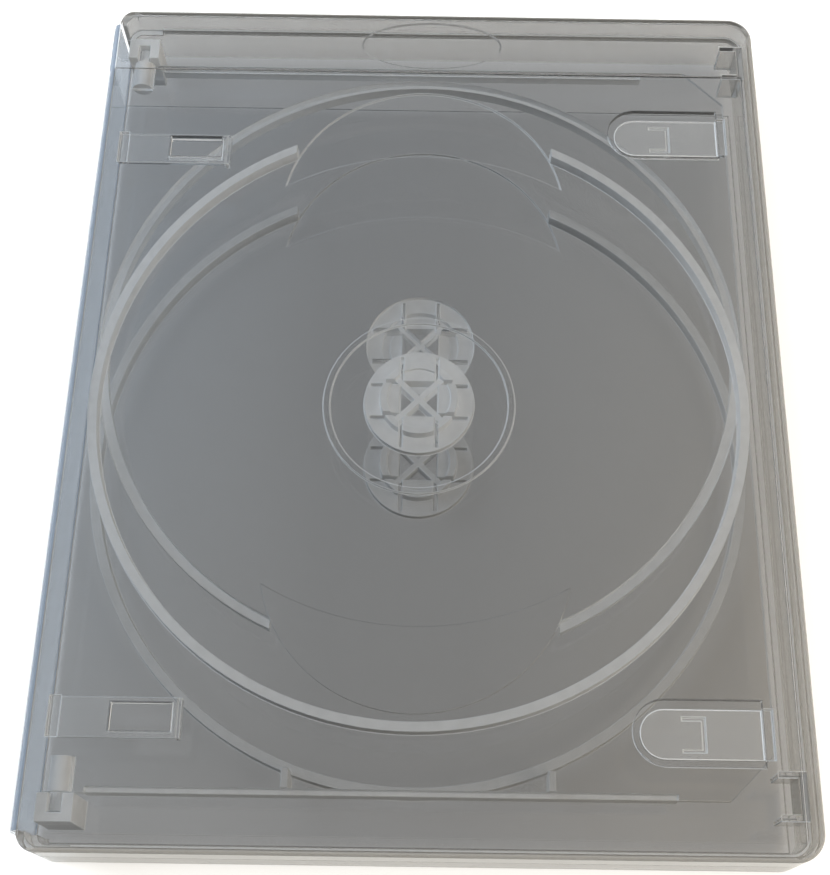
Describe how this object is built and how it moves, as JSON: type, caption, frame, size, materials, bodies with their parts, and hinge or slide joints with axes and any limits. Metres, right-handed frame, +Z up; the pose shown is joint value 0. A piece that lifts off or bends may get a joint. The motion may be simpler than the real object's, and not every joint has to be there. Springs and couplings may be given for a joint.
{
  "type": "multi-disc case",
  "caption": "Clear hinged plastic case with a swing tray and snap hubs that hold optical discs, booklet clips in the lid and a clear film sleeve outside.",
  "frame": {"origin": "centre of the bounding box, on the plane the closed case rests on", "axes": "+X from the spine to the opening edge, +Y along the spine to the header edge, +Z up from the back cover to the front cover"},
  "size_m": [0.135, 0.1714, 0.015],
  "materials": {
    "clear_shell": "clear, slightly hazy moulded polypropylene",
    "clear_tray": "clear, slightly hazy moulded polypropylene",
    "clear_film": "thin glossy clear film"
  },
  "bodies": {
    "back_cover": {"back_cover": "clear_shell", "sleeve_back": "clear_film", "back_hinge": "clear_shell"},
    "spine": {"spine": "clear_shell", "sleeve_spine": "clear_film", "front_hinge": "clear_shell"},
    "front_cover": {"front_cover": "clear_shell", "sleeve_front": "clear_film"},
    "disc_tray": {"disc_tray": "clear_tray"}
  },
  "joints": [
    {"name": "spine_hinge", "type": "hinge", "parent": "back_cover", "child": "spine", "pos_m": [-0.0669, 0, 0.0006], "axis": [0, -1, 0], "range_deg": [0, 90], "deforming": ["back_hinge"]},
    {"name": "cover_hinge", "type": "hinge", "parent": "spine", "child": "front_cover", "pos_m": [-0.0669, 0, 0.0144], "axis": [0, -1, 0], "range_deg": [0, 90], "deforming": ["front_hinge"]},
    {"name": "tray_hinge", "type": "hinge", "parent": "back_cover", "child": "disc_tray", "pos_m": [-0.061, 0, 0.0088], "axis": [0, -1, 0], "range_deg": [0, 81]}
  ],
  "couplings": [
    {"joint": "tray_hinge", "follows": "cover_hinge", "ratio": 0.9}
  ]
}
